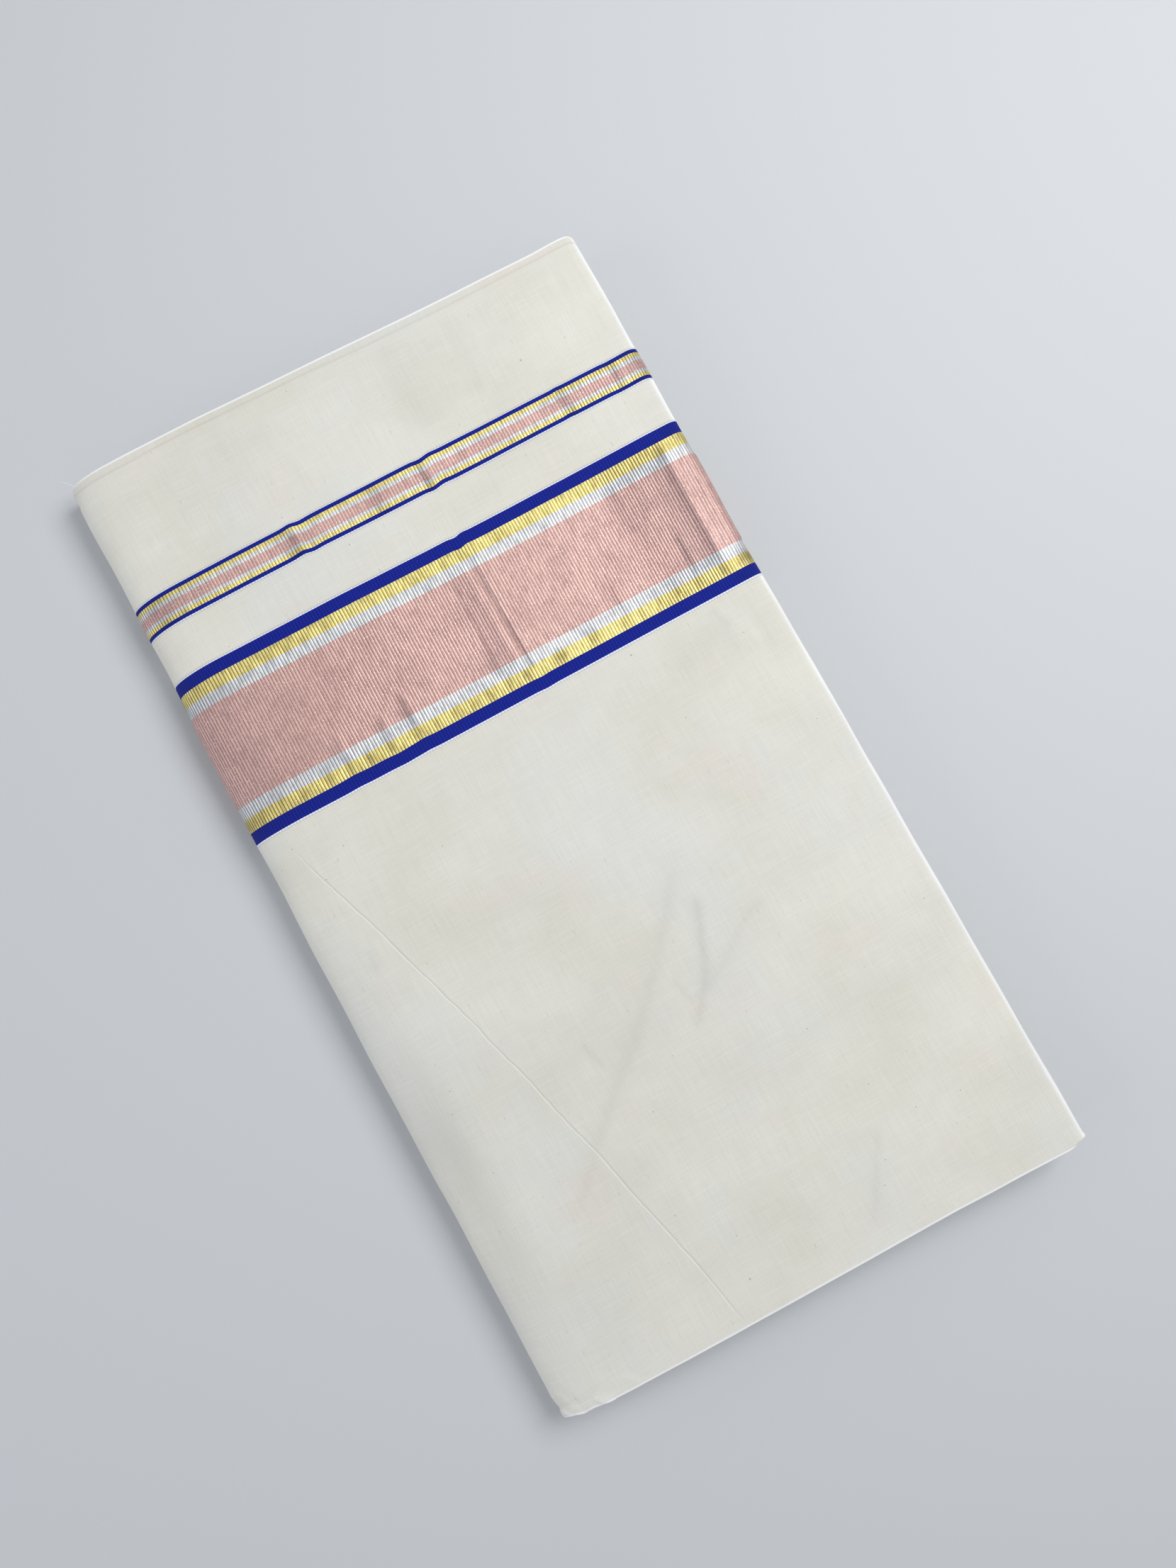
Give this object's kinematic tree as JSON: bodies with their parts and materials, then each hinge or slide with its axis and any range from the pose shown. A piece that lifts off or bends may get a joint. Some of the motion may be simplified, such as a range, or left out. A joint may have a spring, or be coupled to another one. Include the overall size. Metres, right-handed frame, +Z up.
{
  "type": "folded cotton sari",
  "caption": "New cream cotton sari folded flat into a long packet, with a narrow and a wide band of blue, gold, silver and rose metal thread across its pallu end.",
  "frame": {"origin": "bottom centre of the packet's bounding box, on the surface that it rests on", "axes": "+X across the packet, from the last fold's round side to the roll and stacked selvedges; +Y along it, towards the pallu end with the bands; +Z up, out of the top face"},
  "size_m": [0.3054, 0.5464, 0.0307],
  "materials": {
    "cream_cotton": "fine plain-woven mill-finished cotton, matt",
    "metal_thread_band": "ribbed weave of rose, silver and gold metallic thread edged with blue cotton, softly glinting"
  },
  "bodies": {
    "root": {"folded_layers": "cream_cotton", "pallu_end": "cream_cotton", "narrow_band": "metal_thread_band", "band_gap": "cream_cotton", "wide_band": "metal_thread_band", "body_panel": "cream_cotton"}
  },
  "joints": []
}
